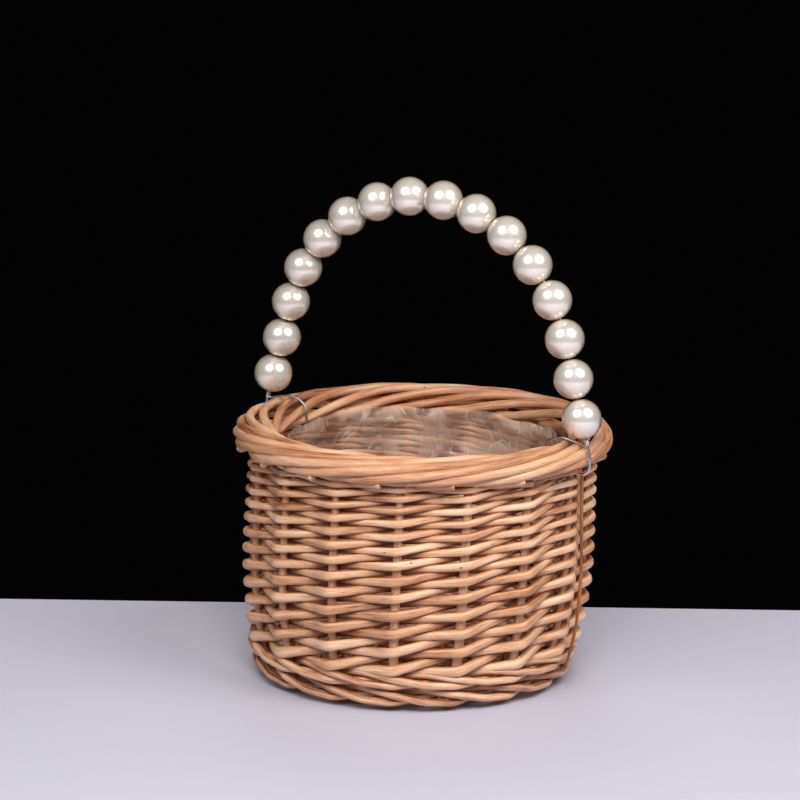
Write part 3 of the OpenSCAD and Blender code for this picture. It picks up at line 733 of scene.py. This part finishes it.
def makeFilm():
    # A bag: its profile runs over the floor, up inside the weave and through the wire loops, and is carried
    # round the basket. The folds push each point in, square to the profile, and waves lift its edge.
    # Returns the points, how hazy each is, and the faces.
    lowS, highS = footHigh + waleHalf, wallTop - 8
    inside = -(rods["stakeD"] + rods["buttD"]) / 2 - rods["gap"] - rods["buttD"] / 2 - film["room"]
    floorZ = baseZ + baseRise + rods["baseWeaverD"] / 2 + film["room"] + 0.3
    wallRadius, wallHeight = wallPoint(np.linspace(lowS, highS, 6), inside)
    neckR = loopIn - wire["d"] / 2 - film["room"]
    lowR = baseEdge - film["room"] - 2
    outline = np.array([[0.01, floorZ], [lowR - 4, floorZ], [lowR, floorZ + 0.5]]
                       + list(zip(wallRadius, wallHeight))
                       + [[neckR, loopBottom + wire["corner"] / 2], [neckR, basket["height"] - film["drop"]]])
    outline = np.column_stack([outline, np.zeros(len(outline))])
    profile, _ = follow(outline, film["step"], film["rounding"])
    gone = alongOf(profile)
    theta = np.linspace(0, 2 * np.pi, film["around"], endpoint=False)
    tt, ss = np.meshgrid(theta, gone)
    radius = np.broadcast_to(profile[:, :1], tt.shape)
    height = np.broadcast_to(profile[:, 1:2], tt.shape)
    fold = foldedNoise(tt * 62, ss, film["folds"], film["shortest"], film["longest"])
    push = film["deepest"] * np.clip(fold, 0, 1) * np.clip(radius / 30, 0, 1)
    heading = np.gradient(profile[:, :2], axis=0)
    heading /= np.linalg.norm(heading, axis=1, keepdims=True)
    inR, inZ = -heading[:, 1:2], heading[:, :1]
    radius = radius + inR * push
    height = height + np.maximum(inZ * push, 0)
    edge = sum(size * np.sin(tt * waves + phase) for size, waves, phase in film["edgeWaves"])
    height = height + np.clip((ss - gone[-1] + 22) / 22, 0, 1) * (edge - 0.4)
    points = atAngle(np.degrees(tt), np.maximum(radius, 0.01), np.minimum(height, basket["height"] - 3))
    crumple = 0.03 + 0.97 * np.clip(1 - (gone[-1] - ss) / film["crumpled"], 0, 1)
    crumple = crumple * (0.68 + 0.37 * np.abs(np.cos(tt - film["bunched"])))
    return points.reshape(-1, 3), crumple.ravel(), gridFaces(len(gone), film["around"])


points, crumple, quads = makeFilm()
liner = makePiece("filmLiner", points, quads.tolist(), "basket", ["liner"], [clearFilm],
                  {"crumple": crumple})

# where a leg leaves its coil, and the circle that touches both legs and the crown
lean = math.tan(wire["tilt"])
seatZ = loopTop + 0.8
seatX = loopOut - (seatZ - rollZ) * lean
archR = (seatX - (wire["crown"] - seatZ) * lean) / (1 / math.cos(wire["tilt"]) - lean)
archZ = wire["crown"] - archR


def wireSide():
    # Half of the wire in the XZ plane: an arc from the crown down, a loop round the border, and a helix of
    # falling pitch round the leg.
    turn = np.linspace(math.pi / 2, wire["tilt"], 60)
    arch = np.stack([archR * np.cos(turn), 0 * turn, archZ + archR * np.sin(turn)], 1)
    c = wire["corner"] * 0.7
    loop = np.array([
        [loopOut, 0, rollZ], [loopOut, 0, loopBottom + c], [loopOut - c, 0, loopBottom],
        [loopIn + c, 0, loopBottom], [loopIn, 0, loopBottom + c], [loopIn, 0, loopTop - 6.5],
        [loopIn + 1.5, 0, loopTop - 2.8], [loopIn + 5, 0, loopTop - 0.7], [loopIn + 9, 0, loopTop]])
    slope = np.array([-math.sin(wire["tilt"]), 0, math.cos(wire["tilt"])])
    level = np.array([math.cos(wire["tilt"]), 0, math.sin(wire["tilt"])])
    seat = np.array([seatX, 0, seatZ])
    spin = np.linspace(math.pi, math.pi + wire["coils"] * 2 * math.pi, 70)
    drop = -0.15 - wire["d"] * (0.5 + 0.98 * (wire["coils"] * (1 - np.linspace(0, 1, 70))) * 0.8)
    coilR = wire["coilR"] * wire["d"]
    coil = (seat + np.outer(drop, slope) + np.outer(coilR * np.cos(spin), level)
            + np.outer(coilR * np.sin(spin), [0, 1.0, 0]))
    return np.concatenate([arch, loop, coil])


side = wireSide()
mirrored = side[::-1] * np.array([-1, 1, 1])
whole = np.concatenate([mirrored[:-1], side])
path, place = follow(whole, wire["step"], wire["rounding"])
outward = np.tile([0, 1.0, 0], (len(path), 1)) + 1e-3      # never quite along the wire
width = np.full(len(path), wire["d"])
bundle = RodBundle(wire["sides"])
bundle.add(path, outward, width / 2, width / 2, 0.0)
bundle.make("handleWire", "handle", ["handle_wire"], [steelWire, steelWire])
print("wire made")

pearls = {
    "rings": 72, "around": 96, "bore": 1.83,
    "lip": 0.25,        # mm that the bore's mouth is rounded
}
pearlD = (Vector(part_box("pearl_01")[1]) - Vector(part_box("pearl_01")[0])).y / metre


def pearlShape(radius, bore):
    # A sphere drilled through: the profile goes round the ball and back through the bore.
    edge = math.asin((bore + pearls["lip"]) / radius)
    angle = np.linspace(edge, math.pi - edge, pearls["rings"])
    ball = np.stack([radius * np.sin(angle), radius * np.cos(angle)], 1)
    z = radius * math.cos(edge)
    hole = np.array([[bore, -z + pearls["lip"] * 0.8], [bore, 0], [bore, z - pearls["lip"] * 0.8]])
    profile = np.concatenate([ball, hole])
    theta = np.linspace(0, 2 * np.pi, pearls["around"], endpoint=False)
    points = np.stack([profile[:, :1] * np.cos(theta), profile[:, :1] * np.sin(theta),
                       np.broadcast_to(profile[:, 1:], (len(profile), len(theta)))], -1)
    return points.reshape(-1, 3), gridFaces(len(profile), pearls["around"], closeRows=True)


points, quads = pearlShape(pearlD / 2, pearls["bore"] / 2)
for joint in frame["joints"]:
    if joint["child"].startswith("pearl"):
        axis = Vector(joint["axis"]).normalized()
        turned = points @ np.array(axis.to_track_quat("Z", "Y").to_matrix()).T
        moved = turned + np.array(joint["pos_m"]) / metre
        makePiece(joint["child"].replace("_", ""), moved, quads[:, ::-1].tolist(), joint["child"],
                  [joint["child"]], [pearlLacquer])
print("pearls made, diameter", round(pearlD, 2))

stage = {
    "azimuth": 32.5,            # degrees, the camera's side of the handle
    "back": 109.0,              # mm from the middle to the table's far edge
    "reach": 2600.0, "half": 1700.0, "thick": 18.0, "colour": "#BCB9C6",
}
camera = {
    "side": 0.30, "away": 1705.3, "height": 498.0,      # mm
    "pitch": 12.33, "yaw": -0.367, "roll": 0.739,       # degrees
    "lens": 174.58,
}


def turnedFrame():
    # Right, away and up as the camera's side sees them, in the basket's frame.
    a = math.radians(stage["azimuth"])
    return Vector((math.cos(a), math.sin(a), 0)), Vector((-math.sin(a), math.cos(a), 0)), Vector((0, 0, 1))


right, away, up = turnedFrame()


def stagePoint(x, y, z):
    # So many mm to the right, away and up, in metres.
    return (right * x + away * y + up * z) * metre


def tableMaterial():
    # Matt laminate table top, nearly white. It takes a soft shadow and shows no reflection.
    material, tree = newMaterial("paleLaminate")
    shader = addNode(tree, "ShaderNodeBsdfPrincipled", Base_Color=fromHex(stage["colour"]), Roughness=0.55,
                     Specular_IOR_Level=0.2)
    finishMaterial(tree, shader)
    return material


def makeTable():
    # A slab whose top is the floor, from far in front of the basket to just behind it.
    half, front, back, low = stage["half"], -stage["reach"], stage["back"], -stage["thick"]
    outline = ((-half, front), (half, front), (half, back), (-half, back))
    corners = [stagePoint(x, y, z) for z in (0, low) for x, y in outline]
    faces = [(0, 1, 2, 3), (7, 6, 5, 4), (0, 4, 5, 1), (1, 5, 6, 2), (2, 6, 7, 3), (3, 7, 4, 0)]
    mesh = bpy.data.meshes.new("table")
    mesh.from_pydata([tuple(c) for c in corners], [], faces)
    mesh.materials.append(tableMaterial())
    table = bpy.data.objects.new("table", mesh)
    bpy.context.scene.collection.objects.link(table)


makeTable()
# soft round lamps: where they stand right, away and up in mm, and whether glossy surfaces mirror them
lamps = {
    "left": {"at": (-495, -716, 901), "size": 860, "watts": 6.0, "glossy": True},
    "right": {"at": (682, -561, 886), "size": 860, "watts": 9.6, "glossy": True},
    "front": {"at": (20, -800, 720), "size": 400, "watts": 7.0, "glossy": False},
    "back": {"at": (60, 850, 1000), "size": 700, "watts": 2.6, "glossy": False},
    "low": {"at": (-150, 950, 170), "size": 500, "watts": 4.0, "glossy": False},
}
for name, lamp in lamps.items():
    light = bpy.data.lights.new(name + "Softbox", "AREA")
    light.shape = "DISK"
    light.size = lamp["size"] * metre
    light.energy = lamp["watts"]
    holder = bpy.data.objects.new(name + "Softbox", light)
    holder.visible_glossy = lamp["glossy"]
    holder.visible_camera = False
    holder.location = stagePoint(*lamp["at"])
    aim = stagePoint(0, 0, 90) - holder.location
    holder.rotation_euler = aim.to_track_quat("-Z", "Y").to_euler()
    bpy.context.scene.collection.objects.link(holder)

# a dark room to the camera and in reflections, with a little light of its own for everything else
world = bpy.data.worlds.new("darkRoom")
world.use_nodes = True
world.node_tree.nodes.clear()
rays = addNode(world.node_tree, "ShaderNodeLightPath")
looked = mathNode(world.node_tree, "MAXIMUM", (rays, "Is Camera Ray"), (rays, "Is Glossy Ray"))
seen = mathNode(world.node_tree, "MAXIMUM", (looked, 0), (rays, "Is Transmission Ray"))
strength = addNode(world.node_tree, "ShaderNodeMapRange", Value=(seen, 0), To_Min=0.035, To_Max=0.001)
background = addNode(world.node_tree, "ShaderNodeBackground", Color=fromHex("#FFFFFF"),
                     Strength=(strength, 0))
addNode(world.node_tree, "ShaderNodeOutputWorld", Surface=(background, 0))
bpy.context.scene.world = world


def makeCamera():
    # Turned by yaw and pitch from straight ahead, then rolled about its own line of sight.
    yaw, pitch, roll = (math.radians(camera[k]) for k in ("yaw", "pitch", "roll"))
    ahead = (right * (math.sin(yaw) * math.cos(pitch)) + away * (math.cos(yaw) * math.cos(pitch))
             - up * math.sin(pitch))
    level = right * math.cos(yaw) - away * math.sin(yaw)
    above = level.cross(ahead)
    x = level * math.cos(roll) + above * math.sin(roll)
    y = above * math.cos(roll) - level * math.sin(roll)
    data = bpy.data.cameras.new("camera")
    data.sensor_width = 36
    data.lens = camera["lens"]
    data.clip_start, data.clip_end = 0.05, 30
    holder = bpy.data.objects.new("camera", data)
    turn = Matrix((x, y, -ahead)).transposed().to_4x4()
    turn.translation = stagePoint(camera["side"], -camera["away"], camera["height"])
    holder.matrix_world = turn
    bpy.context.scene.collection.objects.link(holder)
    bpy.context.scene.camera = holder


makeCamera()
bpy.context.scene.view_settings.view_transform = "Standard"
print("stage, lights and camera made")
